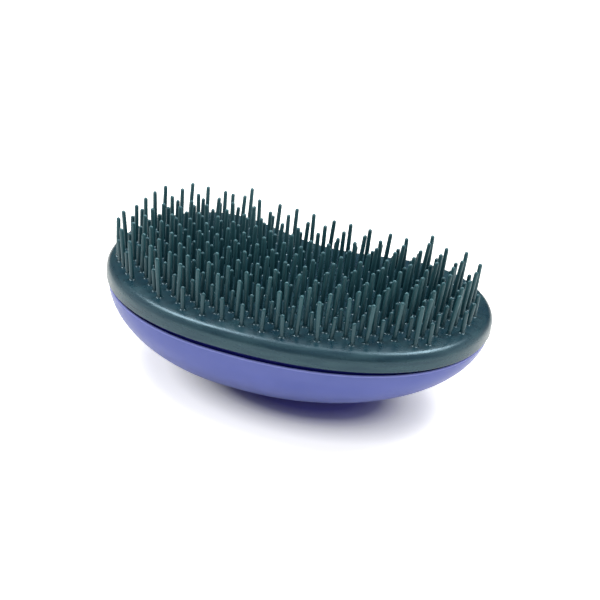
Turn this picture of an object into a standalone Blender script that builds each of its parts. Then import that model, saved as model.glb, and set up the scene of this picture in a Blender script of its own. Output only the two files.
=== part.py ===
"""Palm-held detangling brush, lying on its domed back with the teeth up.

The brush is two mouldings that snap together: a hollow domed back shell that
fills the palm, and a tooth pad whose deck, rolled rim, locating skirt and two
heights of flexible teeth come out of one mould. Lengths are in metres, +X runs
along the brush, +Y points at the waisted long side and +Z points up.
"""
import math

import bmesh
import bpy
from mathutils import Vector
from mathutils.geometry import delaunay_2d_cdt

MM = 0.001

# Outline of the pad, seen from above and measured from the point where its four quarters meet.
LEFT_REACH = 51.4 * MM
RIGHT_REACH = 63.6 * MM
NEAR_REACH = 45.0 * MM
FAR_REACH = 49.7 * MM
NEAR_LEFT_FULLNESS = 2.13
NEAR_RIGHT_FULLNESS = 2.24
FAR_LEFT_FULLNESS = 1.91
FAR_RIGHT_FULLNESS = 1.86
WAIST_DEPTH = 25.0 * MM
WAIST_SPREAD = 36.0 * MM
WAIST_PLACE = 4.2 * MM
OUTLINE_POINTS = 88
NORMAL_STEP = 0.002
FILL_TOLERANCE = 0.002 * MM

# Tooth pad: a flat deck with a rolled edge over a deep rim band.
RIM_HEIGHT = 5.7 * MM
ROLLED_EDGE = 1.8 * MM
ROLLED_EDGE_STEPS = 5
RIM_FOOT_ROUND = 0.7 * MM
RIM_FOOT_STEPS = 2
DECK_THICKNESS = 2.2 * MM
SKIRT_WALL = 1.4 * MM
SKIRT_DEPTH = 3.4 * MM
SKIRT_TAPER = 0.6 * MM

# Teeth: long and short ones alternate on a square grid set cornerwise. The waisted side keeps a
# wider bare strip, four more places along the edge are bare, and one long tooth stands nearer
# the left edge than the others.
TOOTH_PITCH = 5.86 * MM
TOOTH_COLUMN_OFFSET = -0.3 * MM
TOOTH_ROW_OFFSET = -1.5 * MM
TOOTH_MARGIN = 3.7 * MM
FAR_SIDE_MARGIN = 4.2 * MM
BARE_LONG_PLACES = ((-6, 4), (5, 4))
BARE_SHORT_PLACES = ((8, -5), (10, 1))
EDGE_LONG_PLACE = (-8, -3)
EDGE_TOOTH_MARGIN = 3.1 * MM
EDGE_TOOTH_PULL = 0.6 * MM
LONG_TOOTH = 11.9 * MM
SHORT_TOOTH = 6.7 * MM
TOOTH_FOOT_WIDTH = 1.7 * MM
TOOTH_ROOT_WIDTH = 1.2 * MM
TOOTH_TIP_WIDTH = 0.95 * MM
TOOTH_FOOT_HEIGHT = 0.5 * MM
TOOTH_NOSE = 0.5 * MM
TOOTH_SIDES = 4
TIP_SPREAD_SHARE = 0.016
TIP_WANDER = 0.6 * MM
WANDER_TURNS = (2.4, 3.9, 3.1, 1.7)

# Back shell: a hollow dome, deepest a little off the middle.
SHELL_WALL = 2.2 * MM
SHELL_SETBACK = 0.6 * MM
DOME_DEPTH = 24.2 * MM
DOME_FULLNESS = 1.84
DOME_STEPS = 12
CROWN_SHIFT_X = -3.6 * MM
CROWN_SHIFT_Y = -9.5 * MM
CROWN_FLAT_LENGTH = 22.0 * MM
MOUTH_EDGE = 0.5 * MM
INNER_LAND = 2.6 * MM

# The joint between them: a shadow groove, a lip, and a snap bead in a groove.
REVEAL = 1.1 * MM
LIP_STEP = 1.5 * MM
GROOVE_DROP = 0.5 * MM
SEAT_GAP = 0.3 * MM
SNAP_DROP = 2.3 * MM
SNAP_BITE = 0.5 * MM
SNAP_HALF_HEIGHT = 0.5 * MM

PAD_COLOUR = (0.018, 0.058, 0.074, 1.0)
PAD_ROUGHNESS = 0.45
PAD_CREASE = math.radians(50)
SHELL_COLOUR = (0.140, 0.168, 0.470, 1.0)
SHELL_ROUGHNESS = 0.3
SHELL_CREASE = math.radians(30)

# Heights above the crown flat, which is the face that the brush rests on.
PAD_LENGTH = LEFT_REACH + RIGHT_REACH
CROWN_SHARE = CROWN_FLAT_LENGTH / PAD_LENGTH
CROWN_ANGLE = math.acos(CROWN_SHARE ** (DOME_FULLNESS / 2))
MOUTH_LEVEL = DOME_DEPTH * math.sin(CROWN_ANGLE) ** (2 / DOME_FULLNESS)
RIM_FOOT_LEVEL = MOUTH_LEVEL + REVEAL
DECK_LEVEL = RIM_FOOT_LEVEL + RIM_HEIGHT
LIP_INSET = SHELL_SETBACK + LIP_STEP
BORE_INSET = SHELL_SETBACK + SHELL_WALL
SKIRT_INSET = BORE_INSET + SEAT_GAP


def clear_scene():
    """Empty the scene that the script is run in."""
    for old in list(bpy.data.objects):
        bpy.data.objects.remove(old, do_unlink=True)


def plastic(name, colour, roughness):
    """A moulded plastic of one colour."""
    material = bpy.data.materials.new(name)
    material.use_nodes = True
    shader = material.node_tree.nodes["Principled BSDF"]
    shader.inputs["Base Color"].default_value = colour
    shader.inputs["Roughness"].default_value = roughness
    shader.inputs["Metallic"].default_value = 0.0
    material.diffuse_color = colour
    return material


def signed_power(value, power):
    """A power that keeps the sign of its base."""
    return math.copysign(abs(value) ** power, value)


def outline_point(angle, waist_share):
    """Where the pad's outline runs at one angle: an oval of four unlike quarters, waisted on its far side."""
    across = math.cos(angle)
    along = math.sin(angle)
    far_side = along > 0
    end_reach = RIGHT_REACH if across > 0 else LEFT_REACH
    side_reach = FAR_REACH if far_side else NEAR_REACH
    if far_side:
        fullness = FAR_RIGHT_FULLNESS if across > 0 else FAR_LEFT_FULLNESS
    else:
        fullness = NEAR_RIGHT_FULLNESS if across > 0 else NEAR_LEFT_FULLNESS
    x = end_reach * signed_power(across, 2 / fullness)
    y = side_reach * signed_power(along, 2 / fullness)
    if far_side:
        waist = WAIST_DEPTH * waist_share * math.exp(-((x - WAIST_PLACE) / WAIST_SPREAD) ** 2)
        y -= waist * abs(along) ** (2 / fullness)
    return Vector((x, y, 0))


def ring(inset, level, share=1.0):
    """The outline moved inwards by inset, at one height, shrunk towards the crown by share."""
    crown = Vector((CROWN_SHIFT_X, CROWN_SHIFT_Y, 0)) * (1 - share)
    points = []
    for step in range(OUTLINE_POINTS):
        angle = math.tau * step / OUTLINE_POINTS
        point = outline_point(angle, share)
        run = outline_point(angle + NORMAL_STEP, share) - outline_point(angle - NORMAL_STEP, share)
        outward = Vector((run.y, -run.x, 0)).normalized()
        place = point * share - outward * inset + crown
        points.append(Vector((place.x, place.y, level)))
    return points


def add_ring(mesh, points):
    """Put one ring of points into the mesh."""
    return [mesh.verts.new(point) for point in points]


def skin(mesh, rings):
    """Join rings of equal count, one to the next, with a band of faces."""
    for lower, upper in zip(rings, rings[1:]):
        for step in range(len(lower)):
            after = (step + 1) % len(lower)
            mesh.faces.new((lower[step], lower[after], upper[after], upper[step]))


def finish(name, mesh, material, smooth_angle):
    """Turn the faces outwards and make the object."""
    bmesh.ops.recalc_face_normals(mesh, faces=mesh.faces)
    for face in mesh.faces:
        face.smooth = len(face.verts) <= 4
    for edge in mesh.edges:
        edge.smooth = len(edge.link_faces) == 2 and edge.calc_face_angle() < smooth_angle
    data = bpy.data.meshes.new(name)
    mesh.to_mesh(data)
    mesh.free()
    data.materials.append(material)
    made = bpy.data.objects.new(name, data)
    bpy.context.collection.objects.link(made)
    return made


def is_inside(point, loop):
    """Whether a point lies within a closed loop, by counting the edges to its right."""
    inside = False
    for start, end in zip(loop, loop[1:] + loop[:1]):
        if (start.y > point.y) != (end.y > point.y):
            crossing = start.x + (end.x - start.x) * (point.y - start.y) / (end.y - start.y)
            if crossing > point.x:
                inside = not inside
    return inside


def grid_place(column, row, is_long):
    """Where one tooth of the grid stands: the short ones are half a step off both ways."""
    column_shift, row_shift = (1 / 2, 0) if is_long else (0, 1 / 2)
    x = (column + column_shift) * TOOTH_PITCH + TOOTH_COLUMN_OFFSET
    y = (row + row_shift) * TOOTH_PITCH + TOOTH_ROW_OFFSET
    return Vector((x, y))


def tooth_places():
    """Every tooth as (x, y, height, column, row): the long ones, the short ones, the edge one."""
    field = ring(TOOTH_MARGIN, DECK_LEVEL)
    far_step = Vector((0, FAR_SIDE_MARGIN))
    count = math.ceil(PAD_LENGTH / TOOTH_PITCH)
    kinds = ((True, LONG_TOOTH, BARE_LONG_PLACES), (False, SHORT_TOOTH, BARE_SHORT_PLACES))
    places = []
    for is_long, height, bare in kinds:
        for column in range(-count, count + 1):
            for row in range(-count, count + 1):
                place = grid_place(column, row, is_long)
                clear = is_inside(place, field) and is_inside(place + far_step, field)
                if clear and (column, row) not in bare:
                    places.append((place.x, place.y, height, column, row))
    edge = grid_place(*EDGE_LONG_PLACE, True)
    if not is_inside(edge, field):
        edge.x += EDGE_TOOTH_PULL
        if is_inside(edge, ring(EDGE_TOOTH_MARGIN, DECK_LEVEL)):
            places.append((edge.x, edge.y, LONG_TOOTH, *EDGE_LONG_PLACE))
    return places


def tooth_ring(x, y, level, width):
    """The corners of one square slice of a tooth."""
    corners = []
    for side in range(TOOTH_SIDES):
        angle = math.tau * (side + 1 / 2) / TOOTH_SIDES
        reach = width / 2 / math.cos(math.pi / TOOTH_SIDES)
        corners.append(Vector((x + reach * math.cos(angle), y + reach * math.sin(angle), level)))
    return corners


def tip_lean(x, y, height, column, row):
    """How far a tip stands off its root: a slight fan outwards and a little wander."""
    share = height / LONG_TOOTH
    sideways = math.sin(WANDER_TURNS[0] * column + WANDER_TURNS[1] * row)
    forwards = math.cos(WANDER_TURNS[2] * column - WANDER_TURNS[3] * row)
    fan = Vector((x, y)) * TIP_SPREAD_SHARE
    return (fan + Vector((sideways, forwards)) * TIP_WANDER) * share


def add_teeth(mesh, deck_edge):
    """Fill the deck around the feet of the teeth and raise each tooth from its own foot."""
    places = tooth_places()
    feet = [tooth_ring(x, y, DECK_LEVEL, TOOTH_FOOT_WIDTH) for x, y, *_ in places]
    flat = [point.xy for point in deck_edge] + [corner.xy for foot in feet for corner in foot]
    first_corners = range(len(deck_edge), len(flat), TOOTH_SIDES)
    loops = [list(range(len(deck_edge)))]
    loops += [list(range(first, first + TOOTH_SIDES)) for first in first_corners]
    points, _, faces, _, _, owners = delaunay_2d_cdt(flat, [], loops, 1, FILL_TOLERANCE)
    deck = [mesh.verts.new((point.x, point.y, DECK_LEVEL)) for point in points]
    for face, owner in zip(faces, owners):
        if owner == [0]:
            mesh.faces.new([deck[corner] for corner in face])
    for place, loop in zip(places, loops[1:]):
        x, y, height = place[:3]
        lean = tip_lean(*place)
        shoulder = 1 - TOOTH_NOSE / height
        root = tooth_ring(x, y, DECK_LEVEL + TOOTH_FOOT_HEIGHT, TOOTH_ROOT_WIDTH)
        tip = tooth_ring(x + lean.x * shoulder, y + lean.y * shoulder,
                         DECK_LEVEL + height * shoulder, TOOTH_TIP_WIDTH)
        rings = [[deck[corner] for corner in loop], add_ring(mesh, root), add_ring(mesh, tip)]
        skin(mesh, rings)
        nose = mesh.verts.new((x + lean.x, y + lean.y, DECK_LEVEL + height))
        for step in range(TOOTH_SIDES):
            mesh.faces.new((rings[-1][step], rings[-1][(step + 1) % TOOTH_SIDES], nose))
    print("teeth:", len(places))
    return deck[:len(deck_edge)]


def rounded(radius, steps, inset_start, level_start, rising):
    """Points (inset, level) of a quarter round between a side wall and a flat."""
    corners = []
    for step in range(steps + 1):
        angle = math.pi / 2 * step / steps
        inset = inset_start + radius * (1 - math.cos(angle))
        level = level_start + (radius * math.sin(angle) if rising else -radius * math.sin(angle))
        corners.append((inset, level))
    return corners


def make_tooth_pad():
    """The pad: deck and teeth on top, rim band outside, locating skirt underneath."""
    mesh = bmesh.new()
    deck_edge = ring(ROLLED_EDGE, DECK_LEVEL)
    top = add_teeth(mesh, deck_edge)
    roll = rounded(ROLLED_EDGE, ROLLED_EDGE_STEPS, 0, DECK_LEVEL - ROLLED_EDGE, True)
    foot = rounded(RIM_FOOT_ROUND, RIM_FOOT_STEPS, 0, RIM_FOOT_LEVEL + RIM_FOOT_ROUND, False)
    snap_level = RIM_FOOT_LEVEL - SNAP_DROP
    skirt_foot = RIM_FOOT_LEVEL - SKIRT_DEPTH
    skirt = [
        (SKIRT_INSET, RIM_FOOT_LEVEL),
        (SKIRT_INSET, snap_level + SNAP_HALF_HEIGHT),
        (SKIRT_INSET - SNAP_BITE, snap_level),
        (SKIRT_INSET, snap_level - SNAP_HALF_HEIGHT),
        (SKIRT_INSET + SKIRT_TAPER, skirt_foot),
        (SKIRT_INSET + SKIRT_WALL, skirt_foot),
        (SKIRT_INSET + SKIRT_WALL + SKIRT_TAPER, DECK_LEVEL - DECK_THICKNESS),
    ]
    profile = roll[-2::-1] + foot + skirt
    rings = [top] + [add_ring(mesh, ring(inset, level)) for inset, level in profile]
    skin(mesh, rings)
    mesh.faces.new(rings[-1])
    material = plastic("pad_plastic", PAD_COLOUR, PAD_ROUGHNESS)
    return finish("tooth_pad", mesh, material, PAD_CREASE)


def make_back_shell():
    """The shell: domed outside, even wall, and a mouth with its lip and snap groove."""
    mesh = bmesh.new()
    outside = []
    for step in range(DOME_STEPS + 1):
        angle = CROWN_ANGLE * (1 - step / DOME_STEPS)
        share = math.cos(angle) ** (2 / DOME_FULLNESS)
        level = MOUTH_LEVEL - DOME_DEPTH * math.sin(angle) ** (2 / DOME_FULLNESS)
        outside.append(ring(SHELL_SETBACK, level, share))
    outside[-1] = ring(SHELL_SETBACK, MOUTH_LEVEL - MOUTH_EDGE)
    snap_level = RIM_FOOT_LEVEL - SNAP_DROP
    mouth = [
        (SHELL_SETBACK + MOUTH_EDGE, MOUTH_LEVEL),
        (LIP_INSET, MOUTH_LEVEL - GROOVE_DROP),
        (LIP_INSET, RIM_FOOT_LEVEL - SEAT_GAP),
        (BORE_INSET, RIM_FOOT_LEVEL - SEAT_GAP),
        (BORE_INSET, snap_level + SNAP_HALF_HEIGHT),
        (BORE_INSET - SNAP_BITE, snap_level),
        (BORE_INSET, snap_level - SNAP_HALF_HEIGHT),
    ]
    inside = []
    land_angle = math.asin((INNER_LAND / DOME_DEPTH) ** (DOME_FULLNESS / 2))
    for step in range(DOME_STEPS):
        angle = land_angle + (CROWN_ANGLE - land_angle) * step / (DOME_STEPS - 1)
        share = math.cos(angle) ** (2 / DOME_FULLNESS)
        level = MOUTH_LEVEL - DOME_DEPTH * math.sin(angle) ** (2 / DOME_FULLNESS)
        inset = SHELL_SETBACK + SHELL_WALL * math.cos(angle)
        inside.append(ring(inset, level + SHELL_WALL * math.sin(angle), share))
    points = outside + [ring(inset, level) for inset, level in mouth] + inside
    rings = [add_ring(mesh, loop) for loop in points]
    skin(mesh, rings)
    mesh.faces.new(rings[0])
    mesh.faces.new(rings[-1])
    material = plastic("shell_plastic", SHELL_COLOUR, SHELL_ROUGHNESS)
    return finish("back_shell", mesh, material, SHELL_CREASE)


def centre_parts(parts):
    """Shift the meshes so that the brush's box is centred on X and Y."""
    outer = ring(0, 0)
    middle_x = (min(point.x for point in outer) + max(point.x for point in outer)) / 2
    middle_y = (min(point.y for point in outer) + max(point.y for point in outer)) / 2
    for made in parts:
        made.location = (-middle_x, -middle_y, 0)


clear_scene()
centre_parts([make_back_shell(), make_tooth_pad()])
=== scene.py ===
import math

import bmesh
import bpy
from mathutils import Matrix, Vector


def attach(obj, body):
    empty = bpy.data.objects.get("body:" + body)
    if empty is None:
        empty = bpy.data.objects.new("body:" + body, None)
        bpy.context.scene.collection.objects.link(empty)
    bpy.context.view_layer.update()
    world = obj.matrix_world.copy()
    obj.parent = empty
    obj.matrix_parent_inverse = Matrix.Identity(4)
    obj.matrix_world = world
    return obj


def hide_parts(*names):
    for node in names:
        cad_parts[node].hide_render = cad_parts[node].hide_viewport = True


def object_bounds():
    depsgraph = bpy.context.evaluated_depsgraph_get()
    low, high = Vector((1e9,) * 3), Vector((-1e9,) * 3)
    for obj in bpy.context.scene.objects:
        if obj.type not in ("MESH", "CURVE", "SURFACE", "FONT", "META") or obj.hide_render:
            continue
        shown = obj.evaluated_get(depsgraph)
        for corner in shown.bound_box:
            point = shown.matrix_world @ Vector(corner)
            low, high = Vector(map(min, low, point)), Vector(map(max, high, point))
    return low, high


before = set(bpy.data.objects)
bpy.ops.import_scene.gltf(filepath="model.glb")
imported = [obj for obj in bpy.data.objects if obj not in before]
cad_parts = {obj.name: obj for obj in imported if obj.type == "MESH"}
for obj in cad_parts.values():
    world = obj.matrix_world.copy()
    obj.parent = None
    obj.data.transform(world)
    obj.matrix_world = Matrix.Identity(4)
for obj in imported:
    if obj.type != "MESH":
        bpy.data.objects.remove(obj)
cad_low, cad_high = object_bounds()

bpy.ops.object.select_all(action="DESELECT")


# Back shell: the hollow dome that fills the palm and that the brush lies on here. It is
# injection moulded in violet plastic with a satin gloss, with an even wall and a painted
# highlight along the edge of its mouth, and a lip inside the mouth takes the skirt of the tooth
# pad. The groove under the rim is painted with shade.
MM = 0.001
LEFT_REACH = 51.4 * MM
RIGHT_REACH = 63.6 * MM
NEAR_REACH = 45.0 * MM
FAR_REACH = 49.7 * MM
NEAR_LEFT_FULLNESS = 2.13
NEAR_RIGHT_FULLNESS = 2.24
FAR_LEFT_FULLNESS = 1.91
FAR_RIGHT_FULLNESS = 1.86
WAIST_DEPTH = 25.0 * MM
WAIST_SPREAD = 36.0 * MM
WAIST_PLACE = 4.2 * MM
OUTLINE_CORNERS = 264
TURN_STEP = 0.002
DOME_DEPTH = 24.2 * MM
DOME_FULLNESS = 1.84
DOME_LOOPS = 28
INNER_LOOPS = 14
INNER_CROWN_SHARE = 0.3
CROWN_SHIFT = Vector((-3.6 * MM, -9.5 * MM, 0))
CROWN_FLAT_LENGTH = 22.0 * MM
SHELL_SETBACK = 0.6 * MM
SHELL_WALL = 2.2 * MM
MOUTH_ROUND = 0.5 * MM
MOUTH_ROUND_STEPS = 4
LIP_STEP = 1.5 * MM
GROOVE_DROP = 0.5 * MM
REVEAL = 1.1 * MM
MOUTH_BOW = 0.9 * MM
MOUTH_BOW_MIDDLE = 0.35
SEAT_GAP = 0.3 * MM
BORE_DROP = 3.4 * MM
PAD_LENGTH = LEFT_REACH + RIGHT_REACH
CROWN_ANGLE = math.acos((CROWN_FLAT_LENGTH / PAD_LENGTH) ** (DOME_FULLNESS / 2))
MOUTH_LEVEL = DOME_DEPTH * math.sin(CROWN_ANGLE) ** (2 / DOME_FULLNESS)
RIM_FOOT_LEVEL = MOUTH_LEVEL + REVEAL
OUTLINE_CENTRE = Vector((cad_low.x + LEFT_REACH, cad_low.y + NEAR_REACH, 0))
SHELL_CREASE = math.radians(30)
SHELL_VIOLET = (0.106, 0.139, 0.446, 1)
SHELL_VIOLET_WORN = (0.120, 0.152, 0.473, 1)
PAINTED_EDGE_HIGHLIGHT = (0.30, 0.34, 0.82, 1)
PAINTED_GROOVE_SHADE_VIOLET = (0.012, 0.014, 0.200, 1)
# What the mesh's own shade says: a painted highlight along the mouth's edge, or painted
# shade deep in the groove.
PAINTED_HIGHLIGHT_MARK = -1
GROOVE_SHADE = 1
SHELL_GLOSS = 0.33
SHELL_ROUGHNESS = 0.3
SHELL_SCUFF_ROUGHNESS = (0.28, 0.33)
SHELL_SCUFF_STRETCH = (1, 6, 6)
SHELL_SCUFF_CELLS = 160
SHELL_CLOUD_CELLS = 70
SHELL_GRAIN_CELLS = 2600
SHELL_GRAIN_HEIGHT = 0.01 * MM
SHELL_GRAIN_STRENGTH = 0.15


def signed_power(value, power):
    """A power that keeps the sign of its base."""
    return math.copysign(abs(value) ** power, value)


def outline_point(turn, waist_share):
    """Where the outline runs at one turn about the brush, with its waist on the far side."""
    across = math.cos(turn)
    along = math.sin(turn)
    far_side = along > 0
    if far_side:
        fullness = FAR_RIGHT_FULLNESS if across > 0 else FAR_LEFT_FULLNESS
    else:
        fullness = NEAR_RIGHT_FULLNESS if across > 0 else NEAR_LEFT_FULLNESS
    x = (RIGHT_REACH if across > 0 else LEFT_REACH) * signed_power(across, 2 / fullness)
    y = (FAR_REACH if far_side else NEAR_REACH) * signed_power(along, 2 / fullness)
    if far_side:
        waist = WAIST_DEPTH * waist_share * math.exp(-((x - WAIST_PLACE) / WAIST_SPREAD) ** 2)
        y -= waist * abs(along) ** (2 / fullness)
    return Vector((x, y, 0))


def outline_place(turn, inset, level, share):
    """A corner of the outline, moved inwards by inset and shrunk towards the crown by share."""
    point = outline_point(turn, share)
    run = outline_point(turn + TURN_STEP, share) - outline_point(turn - TURN_STEP, share)
    outward = Vector((run.y, -run.x, 0)).normalized()
    place = OUTLINE_CENTRE + point * share - outward * inset + CROWN_SHIFT * (1 - share)
    return Vector((place.x, place.y, level))


def lay_face(inset, level, share=1.0, bow=0.0, shade=0.0):
    """Lay the selected face's corners on the outline, bowed along the brush, and shade them."""
    mesh = bmesh.from_edit_mesh(bpy.context.object.data)
    turns = mesh.verts.layers.float["turn"]
    shades = mesh.verts.layers.float["shade"]
    for corner in mesh.verts:
        if corner.select:
            corner[shades] = shade
            corner.co = outline_place(corner[turns], inset, level, share)
            along = corner.co.x * 2 / PAD_LENGTH
            corner.co.z += bow * (along ** 2 - MOUTH_BOW_MIDDLE)
    bmesh.update_edit_mesh(bpy.context.object.data)


def start_moulding(name, inset, level, share=1.0):
    """Start a moulding as a filled circle whose corners remember their turn about the brush."""
    bpy.ops.mesh.primitive_circle_add(
        vertices=OUTLINE_CORNERS, radius=LEFT_REACH, fill_type="NGON",
    )
    piece = bpy.context.object
    piece.name = name
    piece.data.attributes.new("shade", "FLOAT", "POINT")
    turns = piece.data.attributes.new("turn", "FLOAT", "POINT")
    for index, entry in enumerate(turns.data):
        entry.value = math.tau * index / OUTLINE_CORNERS
    bpy.ops.object.mode_set(mode="EDIT")
    bpy.ops.mesh.select_all(action="SELECT")
    lay_face(inset, level, share)
    return piece


def pull_face(inset, level, share=1.0, bow=0.0, shade=0.0):
    """Extrude the end face of the moulding to its next place."""
    bpy.ops.mesh.extrude_region_move()
    lay_face(inset, level, share, bow, shade)


def pull_round(radius, steps, inset, level, from_angle, bow=0.0, shade=0.0):
    """Extrude a quarter round about a centre (inset, level), starting from one angle."""
    for step in range(1, steps + 1):
        angle = from_angle + math.pi / 2 * step / steps
        next_inset = inset - radius * math.cos(angle)
        next_level = level + radius * math.sin(angle)
        pull_face(next_inset, next_level, bow=bow, shade=shade)


def finish_moulding(piece, crease):
    """Turn the moulding's faces outwards and smooth them up to its creases."""
    bpy.ops.mesh.select_all(action="SELECT")
    bpy.ops.mesh.normals_make_consistent(inside=False)
    bpy.ops.object.mode_set(mode="OBJECT")
    bpy.ops.object.shade_smooth_by_angle(angle=crease)
    bpy.ops.object.transform_apply(location=True, rotation=True, scale=True)
    piece.data.attributes.remove(piece.data.attributes["turn"])
    bpy.ops.object.select_all(action="DESELECT")


def dome_share(angle):
    """How wide the dome is at one angle of its profile, as a share of the outline."""
    return math.cos(angle) ** (2 / DOME_FULLNESS)


def dome_drop(angle):
    """How far the dome lies below its mouth at one angle of its profile."""
    return DOME_DEPTH * math.sin(angle) ** (2 / DOME_FULLNESS)


shell = start_moulding("shell_moulding", SHELL_SETBACK, 0, dome_share(CROWN_ANGLE))
for loop in range(1, DOME_LOOPS):
    angle = CROWN_ANGLE * (1 - loop / DOME_LOOPS)
    bow = MOUTH_BOW * (1 - dome_drop(angle) / MOUTH_LEVEL)
    pull_face(SHELL_SETBACK, MOUTH_LEVEL - dome_drop(angle), dome_share(angle), bow)
pull_face(SHELL_SETBACK, MOUTH_LEVEL - MOUTH_ROUND, bow=MOUTH_BOW)
pull_round(
    MOUTH_ROUND, MOUTH_ROUND_STEPS, SHELL_SETBACK + MOUTH_ROUND, MOUTH_LEVEL - MOUTH_ROUND,
    from_angle=0, bow=MOUTH_BOW, shade=PAINTED_HIGHLIGHT_MARK,
)
lip_inset = SHELL_SETBACK + LIP_STEP
bore_inset = SHELL_SETBACK + SHELL_WALL
pull_face(lip_inset, MOUTH_LEVEL - GROOVE_DROP, bow=MOUTH_BOW, shade=GROOVE_SHADE)
pull_face(lip_inset, RIM_FOOT_LEVEL - SEAT_GAP, shade=GROOVE_SHADE)
pull_face(bore_inset, RIM_FOOT_LEVEL - SEAT_GAP)
pull_face(bore_inset, RIM_FOOT_LEVEL - BORE_DROP)
for loop in range(INNER_LOOPS + 1):
    angle = CROWN_ANGLE * (INNER_CROWN_SHARE + (1 - INNER_CROWN_SHARE) * loop / INNER_LOOPS)
    wall_inset = SHELL_SETBACK + SHELL_WALL * math.cos(angle)
    wall_level = MOUTH_LEVEL - dome_drop(angle) + SHELL_WALL * math.sin(angle)
    pull_face(wall_inset, wall_level, dome_share(angle))
finish_moulding(shell, SHELL_CREASE)


def start_material(name, colour, roughness):
    """A plain plastic, and the parts of its node tree that a section then works on."""
    material = bpy.data.materials.new(name)
    material.use_nodes = True
    material.diffuse_color = colour
    tree = material.node_tree
    shader = tree.nodes["Principled BSDF"]
    shader.inputs["Base Color"].default_value = colour
    shader.inputs["Roughness"].default_value = roughness
    return material, tree, shader


def add_noise(tree, cells, detail, stretch=(1, 1, 1)):
    """Noise on the piece's own coordinates, in cells per metre, stretched along its axes."""
    place = tree.nodes.new("ShaderNodeTexCoord")
    mapping = tree.nodes.new("ShaderNodeMapping")
    mapping.inputs["Scale"].default_value = stretch
    noise = tree.nodes.new("ShaderNodeTexNoise")
    noise.inputs["Scale"].default_value = cells
    noise.inputs["Detail"].default_value = detail
    tree.links.new(place.outputs["Object"], mapping.inputs["Vector"])
    tree.links.new(mapping.outputs["Vector"], noise.inputs["Vector"])
    return noise.outputs["Fac"]


def add_range(tree, source, low, high, from_low=0.35, from_high=0.65):
    """Spread a source's values, by default the middle ones of a noise, over a new range."""
    spread = tree.nodes.new("ShaderNodeMapRange")
    spread.inputs["From Min"].default_value = from_low
    spread.inputs["From Max"].default_value = from_high
    spread.inputs["To Min"].default_value = low
    spread.inputs["To Max"].default_value = high
    tree.links.new(source, spread.inputs["Value"])
    return spread.outputs["Result"]


def add_tint(tree, share, colour, other):
    """Mix a colour or another mix with a second colour by a pattern."""
    mix = tree.nodes.new("ShaderNodeMix")
    mix.data_type = "RGBA"
    if isinstance(colour, tuple):
        mix.inputs["A"].default_value = colour
    else:
        tree.links.new(colour, mix.inputs["A"])
    mix.inputs["B"].default_value = other
    tree.links.new(share, mix.inputs["Factor"])
    return mix.outputs["Result"]


def add_bump(tree, shader, pattern, height, strength):
    """Raise a fine grain of one height on the surface."""
    bump = tree.nodes.new("ShaderNodeBump")
    bump.inputs["Strength"].default_value = strength
    bump.inputs["Distance"].default_value = height
    tree.links.new(pattern, bump.inputs["Height"])
    tree.links.new(bump.outputs["Normal"], shader.inputs["Normal"])


violet, tree, shader = start_material("satin_violet", SHELL_VIOLET, SHELL_ROUGHNESS)
cloud = add_range(tree, add_noise(tree, SHELL_CLOUD_CELLS, detail=3), 0, 1)
body = add_tint(tree, cloud, SHELL_VIOLET, SHELL_VIOLET_WORN)
shade = tree.nodes.new("ShaderNodeAttribute")
shade.attribute_name = "shade"
# Painted highlight: the mouth's edge is tinted a lighter violet.
painted_highlight = add_range(tree, shade.outputs["Fac"], 0, 1, 0, PAINTED_HIGHLIGHT_MARK)
edge_highlighted = add_tint(tree, painted_highlight, body, PAINTED_EDGE_HIGHLIGHT)
# Painted shade: the groove's faces are tinted a deep violet.
groove_shaded = add_tint(tree, shade.outputs["Fac"], edge_highlighted, PAINTED_GROOVE_SHADE_VIOLET)
tree.links.new(groove_shaded, shader.inputs["Base Color"])
scuff = add_noise(tree, SHELL_SCUFF_CELLS, detail=4, stretch=SHELL_SCUFF_STRETCH)
tree.links.new(add_range(tree, scuff, *SHELL_SCUFF_ROUGHNESS), shader.inputs["Roughness"])
shader.inputs["Specular IOR Level"].default_value = SHELL_GLOSS
grain = add_noise(tree, SHELL_GRAIN_CELLS, detail=2)
add_bump(tree, shader, grain, SHELL_GRAIN_HEIGHT, SHELL_GRAIN_STRENGTH)
shell.data.materials.append(violet)
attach(shell, "root")
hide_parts("back_shell")


# Tooth pad: a flat deck with a rolled edge over a deep rim band, and a skirt below that snaps
# into the shell. It is one moulding of dark teal flexible plastic with its teeth, which are
# made in the next section.
RIM_HEIGHT = 5.7 * MM
ROLLED_EDGE = 2.6 * MM
ROLLED_EDGE_STEPS = 12
EDGE_DROOP = 0.15 * MM
DROOP_WIDTH = 2.6 * MM
DROOP_LOOPS = 5
RIM_FOOT_ROUND = 0.7 * MM
RIM_FOOT_STEPS = 5
DECK_THICKNESS = 2.2 * MM
SKIRT_WALL = 1.4 * MM
SKIRT_DEPTH = 3.4 * MM
SKIRT_INSET = SHELL_SETBACK + SHELL_WALL + SEAT_GAP
DECK_LEVEL = RIM_FOOT_LEVEL + RIM_HEIGHT
PAD_CREASE = math.radians(50)
PAD_TEAL = (0.003, 0.025, 0.042, 1)
PAD_TEAL_PALE = (0.017, 0.052, 0.067, 1)
PAD_SHEEN = (0.58, 0.85, 1.0, 1)
PAD_GLOSS = 0.74
PAD_ROUGHNESS = 0.4
PAD_SCUFF_ROUGHNESS = (0.26, 0.33)
PAD_SCUFF_STRETCH = (1, 1, 4)
PAD_SCUFF_CELLS = 300
PAD_FLOW_STRETCH = (1, 1, 9)
PAD_FLOW_CELLS = 110
PAD_GRAIN_CELLS = 2000
PAD_GRAIN_HEIGHT = 0.04 * MM
PAD_GRAIN_STRENGTH = 0.5

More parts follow.
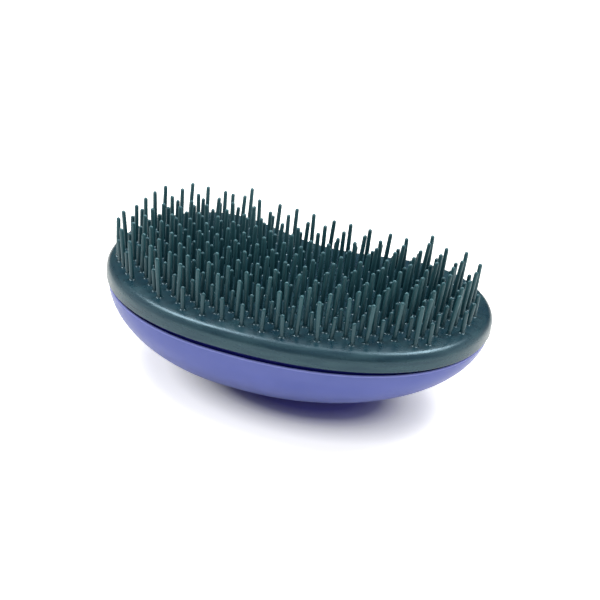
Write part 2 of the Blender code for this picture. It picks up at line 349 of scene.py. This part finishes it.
pad = start_moulding("pad_moulding", SKIRT_INSET + SKIRT_WALL, DECK_LEVEL - DECK_THICKNESS)
pull_face(SKIRT_INSET + SKIRT_WALL, RIM_FOOT_LEVEL - SKIRT_DEPTH)
pull_face(SKIRT_INSET, RIM_FOOT_LEVEL - SKIRT_DEPTH)
pull_face(SKIRT_INSET, RIM_FOOT_LEVEL)
pull_face(RIM_FOOT_ROUND, RIM_FOOT_LEVEL)
pull_round(
    RIM_FOOT_ROUND, RIM_FOOT_STEPS, RIM_FOOT_ROUND, RIM_FOOT_LEVEL + RIM_FOOT_ROUND,
    from_angle=-math.pi / 2,
)
rolled_level = DECK_LEVEL - EDGE_DROOP - ROLLED_EDGE
pull_face(0, rolled_level)
pull_round(ROLLED_EDGE, ROLLED_EDGE_STEPS, ROLLED_EDGE, rolled_level, from_angle=0)
for loop in range(1, DROOP_LOOPS + 1):
    remaining = 1 - loop / DROOP_LOOPS
    droop_inset = ROLLED_EDGE + DROOP_WIDTH * (1 - remaining)
    pull_face(droop_inset, DECK_LEVEL - EDGE_DROOP * remaining ** 2)
finish_moulding(pad, PAD_CREASE)

teal, tree, shader = start_material("matt_teal", PAD_TEAL, PAD_ROUGHNESS)
flow = add_range(tree, add_noise(tree, PAD_FLOW_CELLS, detail=4, stretch=PAD_FLOW_STRETCH), 0, 1)
tree.links.new(add_tint(tree, flow, PAD_TEAL, PAD_TEAL_PALE), shader.inputs["Base Color"])
scuff = add_noise(tree, PAD_SCUFF_CELLS, detail=3, stretch=PAD_SCUFF_STRETCH)
tree.links.new(add_range(tree, scuff, *PAD_SCUFF_ROUGHNESS), shader.inputs["Roughness"])
shader.inputs["Specular IOR Level"].default_value = PAD_GLOSS
shader.inputs["Specular Tint"].default_value = PAD_SHEEN
grain = add_noise(tree, PAD_GRAIN_CELLS, detail=3)
add_bump(tree, shader, grain, PAD_GRAIN_HEIGHT, PAD_GRAIN_STRENGTH)
pad.data.materials.append(teal)
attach(pad, "root")
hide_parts("tooth_pad")


# Teeth: long and short ones in turn on a square grid set cornerwise, moulded in one with the
# pad. Each rises from a filleted foot, glossier than the shaft, to a round nose, with painted
# shade darkening it towards the foot. Use has left each with its own lean, those at the far left
# bent back, and one there worn short.
TOOTH_PITCH = 5.86 * MM
TOOTH_COLUMN_OFFSET = -0.3 * MM
TOOTH_ROW_OFFSET = -1.5 * MM
TOOTH_MARGIN = 3.7 * MM
FAR_SIDE_MARGIN = 4.2 * MM
MARGIN_CORNERS = 88
BARE_LONG_PLACES = ((-6, 4), (5, 4))
BARE_SHORT_PLACES = ((8, -5), (10, 1))
EDGE_LONG_PLACE = (-8, -3)
EDGE_TOOTH_PULL = 0.6 * MM
WORN_LONG_PLACE = (-5, 4)
WORN_SHARE = 0.77
LONG_TOOTH = 11.9 * MM
SHORT_TOOTH = 6.7 * MM
TOOTH_SIDES = 8
TOOTH_CREASE = math.radians(60)
FOOT_SINK = 0.03 * MM
FOOT_RADIUS = 1.10 * MM
FILLET_RADIUS = 0.82 * MM
FILLET_HEIGHT = 0.10 * MM
ROOT_RADIUS = 0.71 * MM
ROOT_HEIGHT = 0.45 * MM
TIP_RADIUS = 0.63 * MM
# The nose's radius and its place below the tip, both as shares of the tip's radius.
NOSE_PROFILE = ((1, 1), (0.90, 0.56), (0.65, 0.24), (0.32, 0.05), (0.10, 0))
TIP_SPREAD_SHARE = 0.016
TIP_WANDER = 0.5 * MM
WANDER_TURNS = (2.4, 3.9, 3.1, 1.7)
BENT_SHARE = 0.12
BENT_SIDEWAYS_SHARE = -0.035
BENT_FROM = 5 * MM
BENT_FADE = 6 * MM
TOOTH_TEAL = (0.021, 0.083, 0.098, 1)
TOOTH_TEAL_PALE = (0.030, 0.104, 0.120, 1)
TOOTH_TEAL_PAINTED_SHADE = (0.005, 0.036, 0.050, 1)
TOOTH_SHEEN = (0.66, 0.89, 1.0, 1)
TOOTH_GLOSS = 0.78
TOOTH_ROUGHNESS = 0.25
FOOT_ROUGHNESS = 0.17
SHAFT_ROUGHNESS = 0.31
FOOT_POLISH = 1.5 * MM
TOOTH_FLOW_CELLS = 140
TOOTH_GRAIN_CELLS = 2200
TOOTH_GRAIN_HEIGHT = 0.02 * MM
TOOTH_GRAIN_STRENGTH = 0.25


def model_tooth(name, height):
    """A tooth standing on the origin: a circle extruded up its fillet, its shaft and its nose."""
    bpy.ops.mesh.primitive_circle_add(
        vertices=TOOTH_SIDES, radius=FOOT_RADIUS, fill_type="NGON", location=(0, 0, -FOOT_SINK),
    )
    tooth = bpy.context.object
    tooth.name = name
    bpy.ops.object.mode_set(mode="EDIT")
    bpy.ops.mesh.select_all(action="SELECT")
    profile = [(FILLET_RADIUS, FILLET_HEIGHT), (ROOT_RADIUS, ROOT_HEIGHT)]
    for radius_share, drop_share in NOSE_PROFILE:
        profile.append((TIP_RADIUS * radius_share, height - TIP_RADIUS * drop_share))
    radius = FOOT_RADIUS
    level = -FOOT_SINK
    for next_radius, next_level in profile:
        rise = (0, 0, next_level - level)
        bpy.ops.mesh.extrude_region_move(TRANSFORM_OT_translate={"value": rise})
        shrink = next_radius / radius
        bpy.ops.transform.resize(value=(shrink, shrink, 1), center_override=(0, 0, next_level))
        radius = next_radius
        level = next_level
    bpy.ops.mesh.select_all(action="SELECT")
    bpy.ops.mesh.normals_make_consistent(inside=False)
    bpy.ops.object.mode_set(mode="OBJECT")
    bpy.ops.object.shade_smooth_by_angle(angle=TOOTH_CREASE)
    bpy.ops.object.transform_apply(location=True, rotation=True, scale=True)
    bpy.ops.object.select_all(action="DESELECT")
    return tooth


def inside_loop(x, y, loop):
    """Whether a place lies within a loop, by counting the edges to its right."""
    inside = False
    for start, end in zip(loop, loop[1:] + loop[:1]):
        if (start.y > y) != (end.y > y):
            if start.x + (end.x - start.x) * (y - start.y) / (end.y - start.y) > x:
                inside = not inside
    return inside


def tooth_lean(x, y, height, column, row):
    """The shear that leans a tooth: a fan outwards, its own wander and the bend at the far left."""
    share = height / LONG_TOOTH
    sideways = math.sin(WANDER_TURNS[0] * column + WANDER_TURNS[1] * row)
    forwards = math.cos(WANDER_TURNS[2] * column - WANDER_TURNS[3] * row)
    bent = max(y, 0) * min(max((BENT_FROM - x) / BENT_FADE, 0), 1)
    lean_x = x * TIP_SPREAD_SHARE + bent * BENT_SIDEWAYS_SHARE + sideways * TIP_WANDER
    lean_y = y * TIP_SPREAD_SHARE + bent * BENT_SHARE + forwards * TIP_WANDER
    lean = Matrix.Identity(4)
    lean[0][2] = lean_x * share / height
    lean[1][2] = lean_y * share / height
    return lean


def plant_teeth(tooth, height, column_shift, row_shift, bare_places):
    """Copy a tooth to every place of its grid inside the margin, each copy with its own lean."""
    turns = [math.tau * step / MARGIN_CORNERS for step in range(MARGIN_CORNERS)]
    margin = [outline_place(turn, TOOTH_MARGIN, 0, 1) for turn in turns]
    reach = math.ceil(PAD_LENGTH / TOOTH_PITCH)
    is_long = height == LONG_TOOTH
    for column in range(-reach, reach + 1):
        for row in range(-reach, reach + 1):
            x = (column + column_shift) * TOOTH_PITCH + TOOTH_COLUMN_OFFSET
            y = (row + row_shift) * TOOTH_PITCH + TOOTH_ROW_OFFSET
            at_edge = is_long and (column, row) == EDGE_LONG_PLACE
            if at_edge:
                x += EDGE_TOOTH_PULL
            place = OUTLINE_CENTRE + Vector((x, y, DECK_LEVEL))
            clear_of_rim = inside_loop(place.x, place.y, margin)
            clear_of_waist = inside_loop(place.x, place.y + FAR_SIDE_MARGIN, margin)
            planted = at_edge or (clear_of_rim and clear_of_waist)
            if not planted or (column, row) in bare_places:
                continue
            copy = tooth.copy()
            copy.data = tooth.data.copy()
            if is_long and (column, row) == WORN_LONG_PLACE:
                copy.data.transform(Matrix.Scale(WORN_SHARE, 4, (0, 0, 1)))
            lean = tooth_lean(x, y, height, column, row)
            copy.data.transform(Matrix.Translation(place) @ lean)
            bpy.context.collection.objects.link(copy)
            copy.select_set(True)
    bpy.context.view_layer.objects.active = copy
    bpy.ops.object.join()
    teeth = bpy.context.object
    teeth.name = tooth.name + "_teeth"
    teeth.data.name = teeth.name
    bpy.ops.object.select_all(action="DESELECT")
    bpy.data.objects.remove(tooth)
    return teeth


tooth_teal, tree, shader = start_material("tooth_teal", TOOTH_TEAL, TOOTH_ROUGHNESS)
flow = add_range(tree, add_noise(tree, TOOTH_FLOW_CELLS, detail=3), 0, 1)
place = tree.nodes.new("ShaderNodeTexCoord")
parts = tree.nodes.new("ShaderNodeSeparateXYZ")
tree.links.new(place.outputs["Object"], parts.inputs["Vector"])
level = parts.outputs["Z"]
# Painted shade: the teeth are tinted darker towards the deck.
painted_shade_share = add_range(tree, level, 1, 0, DECK_LEVEL, DECK_LEVEL + LONG_TOOTH)
body = add_tint(tree, flow, TOOTH_TEAL, TOOTH_TEAL_PALE)
tree.links.new(add_tint(tree, painted_shade_share, body, TOOTH_TEAL_PAINTED_SHADE), shader.inputs["Base Color"])
polish_top = DECK_LEVEL + FOOT_POLISH
polish = add_range(tree, level, FOOT_ROUGHNESS, SHAFT_ROUGHNESS, DECK_LEVEL, polish_top)
tree.links.new(polish, shader.inputs["Roughness"])
shader.inputs["Specular IOR Level"].default_value = TOOTH_GLOSS
shader.inputs["Specular Tint"].default_value = TOOTH_SHEEN
grain = add_noise(tree, TOOTH_GRAIN_CELLS, detail=2)
add_bump(tree, shader, grain, TOOTH_GRAIN_HEIGHT, TOOTH_GRAIN_STRENGTH)
for name, height, column_shift, row_shift, bare_places in (
    ("long", LONG_TOOTH, 0.5, 0, BARE_LONG_PLACES),
    ("short", SHORT_TOOTH, 0, 0.5, BARE_SHORT_PLACES),
):
    teeth = plant_teeth(model_tooth(name, height), height, column_shift, row_shift, bare_places)
    teeth.data.materials.append(tooth_teal)
    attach(teeth, "root")
    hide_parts("tooth_pad")


# Studio: a pale floor that looks white away from the brush's shadow, in a soft room with a card
# above the camera, small lamps high at both sides and a wider one behind. The camera stands
# where the photograph's did, rolled by the brush's own tilt there.
CAMERA_AZIMUTH = math.radians(20.15)
CAMERA_ELEVATION = math.radians(25.79)
CAMERA_ROLL = math.radians(-5.93)
CAMERA_DISTANCE = 382.0 * MM
CAMERA_CLIPS = (0.01, 20)
SENSOR_WIDTH = 36
FOCAL_PIXELS = 1303.4
FRAME_PIXELS = 600
OUTLINE_CENTRE_PIXEL = (281.56, 268.11)
WHITE = (1, 1, 1, 1)
PAPER = (0.88, 0.87, 0.83, 1)
PAPER_ROUGHNESS = 0.8
PAPER_GLOSS = 0.1
FLOOR_SIZE = 6
FLOOR_DROP = 0.05 * MM
FLOOR_GLOW = 0.62
GLOSSY_SHARE = 0.36
SHADOW_PLACE = (6.8 * MM, -3.0 * MM, 0)
SHADOW_REACH = (68 * MM, 48 * MM, 1)
SHADOW_FADE = (0.385, 0.645)
CONTACT_FADE = (0.530, 0.730)
SHADOW_VIOLET = (0.215, 0.200, 0.560, 1)
ROOM_SIDES = 1.2
ROOM_SIDES_FROM = 0.3
ROOM_BEHIND = 0.05
ROOM_BEFORE = 0.22
ROOM_OVERHEAD = 0.31
ROOM_OVERHEAD_FROM = 0.4
CARD_TOWARDS = (0, -0.77, 0.64)
CARD_BRIGHTNESS = 0.35
CARD_FROM = 0.6
LAMP_DISTANCE = 0.7
# Each lamp's name, its place to the right, behind and above, its size and its power.
LAMPS = (
    ("left_lamp", (-0.45, 0.18, 0.87), 0.26, 2.7),
    ("back_lamp", (0, 0.46, 0.87), 0.50, 1.3),
    ("right_lamp", (0.45, 0.18, 0.87), 0.26, 2.9),
)


def add_math(tree, operation, first, second):
    """Work out one value from two others."""
    node = tree.nodes.new("ShaderNodeMath")
    node.operation = operation
    tree.links.new(first, node.inputs[0])
    tree.links.new(second, node.inputs[1])
    return node.outputs["Value"]


# The floor shows white to the camera and faintly in reflections, but not close to the brush.
bpy.ops.mesh.primitive_plane_add(size=FLOOR_SIZE, location=(0, 0, -FLOOR_DROP))
floor = bpy.context.object
floor.name = "floor"
bpy.ops.object.transform_apply(location=True, rotation=True, scale=True)
paper, tree, shader = start_material("pale_paper", PAPER, PAPER_ROUGHNESS)
shader.inputs["Specular IOR Level"].default_value = PAPER_GLOSS
shader.inputs["Emission Color"].default_value = WHITE
place = tree.nodes.new("ShaderNodeTexCoord")
spread = tree.nodes.new("ShaderNodeMapping")
spread.vector_type = "TEXTURE"
spread.inputs["Location"].default_value = SHADOW_PLACE
spread.inputs["Scale"].default_value = SHADOW_REACH
near = tree.nodes.new("ShaderNodeTexGradient")
near.gradient_type = "SPHERICAL"
tree.links.new(place.outputs["Object"], spread.inputs["Vector"])
tree.links.new(spread.outputs["Vector"], near.inputs["Vector"])
rays = tree.nodes.new("ShaderNodeLightPath")
to_camera = rays.outputs["Is Camera Ray"]
to_gloss = add_range(tree, rays.outputs["Is Glossy Ray"], 0, GLOSSY_SHARE, 0, 1)
bright = add_range(tree, near.outputs["Fac"], FLOOR_GLOW, 0, *SHADOW_FADE)
glow = add_math(tree, "MULTIPLY", bright, add_math(tree, "ADD", to_camera, to_gloss))
tree.links.new(glow, shader.inputs["Emission Strength"])
# Painted shadow: close under the brush, the camera sees the floor tinted violet.
under = add_range(tree, near.outputs["Fac"], 0, 1, *CONTACT_FADE)
contact = add_math(tree, "MULTIPLY", under, to_camera)
tree.links.new(add_tint(tree, contact, PAPER, SHADOW_VIOLET), shader.inputs["Base Color"])
floor.data.materials.append(paper)

# The room's light is laid out about the photograph's view, and stays put in every other view.
world = bpy.data.worlds.new("studio")
bpy.context.scene.world = world
world.use_nodes = True
tree = world.node_tree
look = tree.nodes.new("ShaderNodeTexCoord")
turned = tree.nodes.new("ShaderNodeMapping")
turned.inputs["Rotation"].default_value = (0, 0, -CAMERA_AZIMUTH)
parts = tree.nodes.new("ShaderNodeSeparateXYZ")
card = tree.nodes.new("ShaderNodeVectorMath")
card.operation = "DOT_PRODUCT"
card.inputs[1].default_value = CARD_TOWARDS
tree.links.new(look.outputs["Generated"], turned.inputs["Vector"])
tree.links.new(turned.outputs["Vector"], parts.inputs["Vector"])
tree.links.new(turned.outputs["Vector"], card.inputs[0])
sideways = add_math(tree, "MULTIPLY", parts.outputs["X"], parts.outputs["X"])
strength = add_range(tree, sideways, 0, ROOM_SIDES, ROOM_SIDES_FROM, 1)
for share in (
    add_range(tree, parts.outputs["Y"], ROOM_BEFORE, ROOM_BEHIND, -1, 1),
    add_range(tree, parts.outputs["Z"], 0, ROOM_OVERHEAD, ROOM_OVERHEAD_FROM, 1),
    add_range(tree, card.outputs["Value"], 0, CARD_BRIGHTNESS, CARD_FROM, 1),
):
    strength = add_math(tree, "ADD", strength, share)
room = tree.nodes["Background"]
room.inputs["Color"].default_value = WHITE
tree.links.new(strength, room.inputs["Strength"])
backdrop = tree.nodes.new("ShaderNodeBackground")
backdrop.inputs["Color"].default_value = WHITE
backdrop.inputs["Strength"].default_value = 1
rays = tree.nodes.new("ShaderNodeLightPath")
choose = tree.nodes.new("ShaderNodeMixShader")
tree.links.new(rays.outputs["Is Camera Ray"], choose.inputs["Fac"])
tree.links.new(room.outputs["Background"], choose.inputs[1])
tree.links.new(backdrop.outputs["Background"], choose.inputs[2])
tree.links.new(choose.outputs["Shader"], tree.nodes["World Output"].inputs["Surface"])

back = Vector((
    math.sin(CAMERA_AZIMUTH) * math.cos(CAMERA_ELEVATION),
    -math.cos(CAMERA_AZIMUTH) * math.cos(CAMERA_ELEVATION),
    math.sin(CAMERA_ELEVATION),
))
level_right = Vector((math.cos(CAMERA_AZIMUTH), math.sin(CAMERA_AZIMUTH), 0))
level_up = back.cross(level_right)
right = math.cos(CAMERA_ROLL) * level_right - math.sin(CAMERA_ROLL) * level_up
up = math.cos(CAMERA_ROLL) * level_up + math.sin(CAMERA_ROLL) * level_right
aim_right = (OUTLINE_CENTRE_PIXEL[0] - FRAME_PIXELS / 2) * CAMERA_DISTANCE / FOCAL_PIXELS
aim_up = -(OUTLINE_CENTRE_PIXEL[1] - FRAME_PIXELS / 2) * CAMERA_DISTANCE / FOCAL_PIXELS
deck_centre = OUTLINE_CENTRE + Vector((0, 0, DECK_LEVEL))
stand = deck_centre + back * CAMERA_DISTANCE - right * aim_right - up * aim_up
away = Vector((-back.x, -back.y, 0)).normalized()
for name, (sideways, behind, above), size, power in LAMPS:
    towards = (level_right * sideways + away * behind + Vector((0, 0, above))).normalized()
    bpy.ops.object.light_add(type="AREA", location=towards * LAMP_DISTANCE)
    lamp = bpy.context.object
    lamp.name = name
    lamp.rotation_euler = towards.to_track_quat("Z", "Y").to_euler()
    lamp.data.shape = "SQUARE"
    lamp.data.size = size
    lamp.data.energy = power
bpy.ops.object.camera_add()
camera = bpy.context.object
camera.matrix_world = Matrix.Translation(stand) @ Matrix((right, up, back)).transposed().to_4x4()
camera.data.sensor_width = SENSOR_WIDTH
camera.data.lens = FOCAL_PIXELS / FRAME_PIXELS * SENSOR_WIDTH
camera.data.clip_start, camera.data.clip_end = CAMERA_CLIPS
bpy.context.scene.camera = camera

bpy.context.scene.view_settings.view_transform = "Standard"
